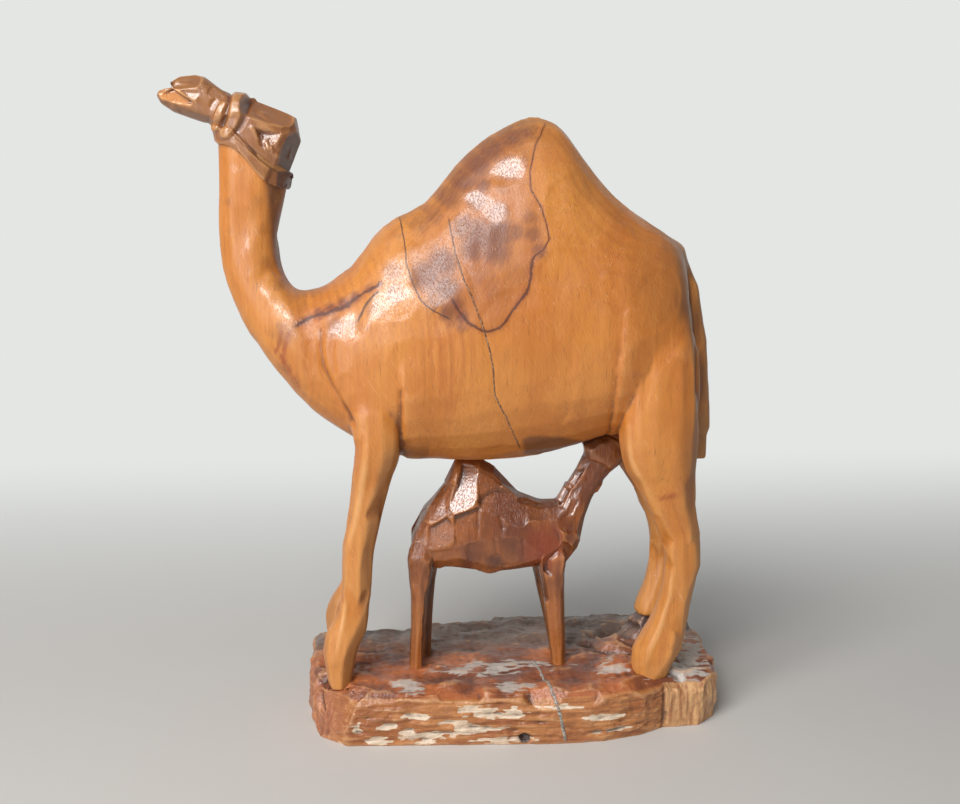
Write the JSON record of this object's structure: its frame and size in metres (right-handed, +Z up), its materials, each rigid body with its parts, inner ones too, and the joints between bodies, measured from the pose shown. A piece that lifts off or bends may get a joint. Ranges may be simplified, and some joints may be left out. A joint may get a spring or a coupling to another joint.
{
  "type": "carved camel statue",
  "caption": "Carved and varnished wooden camel cow with raised head and carved halter, her nursing calf under the belly, on a rough sawn plinth.",
  "frame": {"origin": "on the plinth's underside, below the middle of the animals", "axes": "+Z up; +X from the cow's head towards her tail; the side seen in the picture faces -Y"},
  "size_m": [0.1885, 0.0705, 0.2188],
  "materials": {
    "honey_wood": "glossy clear varnish over honey-orange wood with dark figure",
    "russet_wood": "glossy varnish over dark red-brown wood with knife facets",
    "sawn_plinth_wood": "stained and varnished top, sawn and chipped sides",
    "crack_putty": "dull wood filler"
  },
  "bodies": {
    "root": {"plinth": "sawn_plinth_wood", "plinth_crack_fill": "crack_putty", "cow_torso": "honey_wood", "flank_crack_fill": "crack_putty", "cow_neck": "honey_wood", "cow_head": "honey_wood", "halter_noseband": "honey_wood", "halter_throat_strap": "honey_wood", "cow_tail": "honey_wood", "cow_foreleg_near": "honey_wood", "cow_foreleg_far": "honey_wood", "cow_hindleg_near": "honey_wood", "cow_hindleg_far": "honey_wood", "calf_torso": "russet_wood", "calf_neck": "russet_wood", "calf_head": "russet_wood", "calf_foreleg_near": "russet_wood", "calf_foreleg_far": "russet_wood", "calf_hindleg_near": "russet_wood", "calf_hindleg_far": "russet_wood"}
  },
  "joints": []
}
